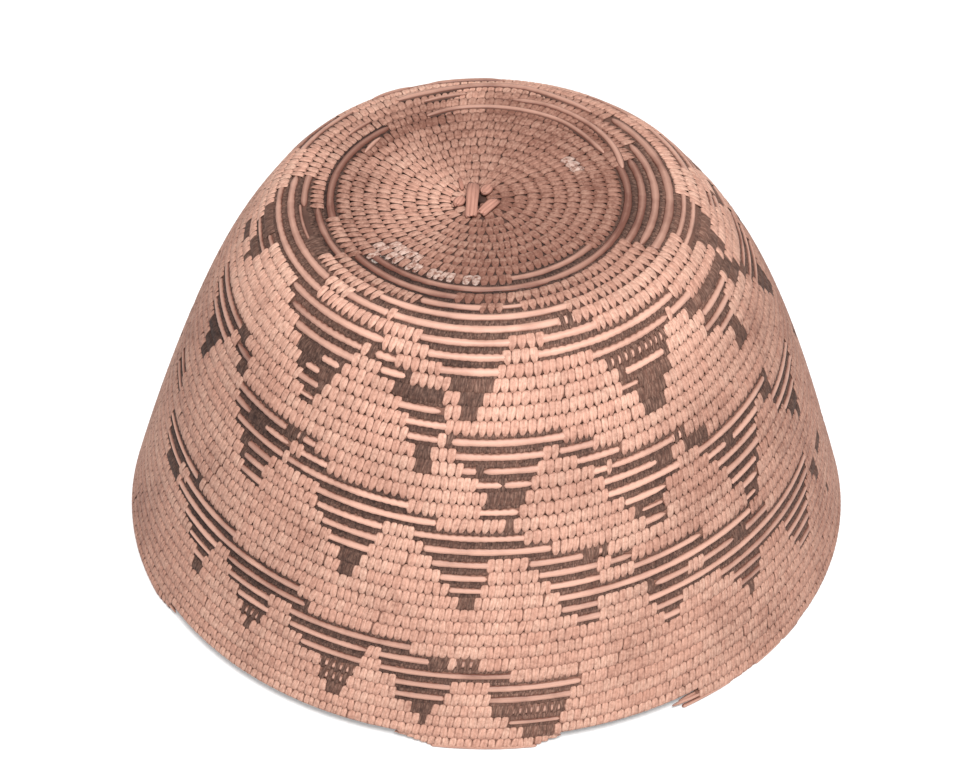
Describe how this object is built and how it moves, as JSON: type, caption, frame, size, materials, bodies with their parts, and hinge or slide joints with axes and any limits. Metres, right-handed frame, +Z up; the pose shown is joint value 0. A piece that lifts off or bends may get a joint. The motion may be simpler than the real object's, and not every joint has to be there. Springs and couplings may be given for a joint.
{
  "type": "cooking basket",
  "caption": "Round coiled basket for cooking with hot stones, rods bound course to course by sewing strands, with stepped triangles, turned over on its rim.",
  "frame": {"origin": "centre of the rim's footprint, on the surface that the basket stands on, turned over as it is shown", "axes": "+Z up from the open rim to the closed base; -Y towards the side that the picture shows, +X to its right"},
  "size_m": [0.3404, 0.3397, 0.1705],
  "materials": {
    "light_sewing": "matt split strands, smoothed by use",
    "worn_sewing": "matt, darkened and worn",
    "dark_sewing": "matt dark strands with fine streaks",
    "bare_rod": "peeled rod, smooth and slightly satin",
    "splint_wood": "split wood, satin"
  },
  "bodies": {
    "root": {"base_coil": "worn_sewing", "heel_coil": "worn_sewing", "upper_wall_coil": "light_sewing", "middle_wall_coil": "light_sewing", "lower_wall_coil": "light_sewing", "rim_fragment": "light_sewing", "rim_tail": "light_sewing", "wall_end_rod_1": "bare_rod", "wall_end_rod_2": "bare_rod", "wall_end_rod_3": "bare_rod", "fragment_left_rod_1": "bare_rod", "fragment_left_rod_2": "bare_rod", "fragment_left_rod_3": "bare_rod", "fragment_right_rod_1": "bare_rod", "fragment_right_rod_2": "bare_rod", "fragment_right_rod_3": "bare_rod", "tail_rod_1": "bare_rod", "tail_rod_2": "bare_rod", "tail_rod_3": "bare_rod", "start_splint_long": "splint_wood", "start_splint_cross": "splint_wood", "start_stub_left": "splint_wood", "start_stub_right": "splint_wood", "start_sliver": "splint_wood"}
  },
  "joints": []
}
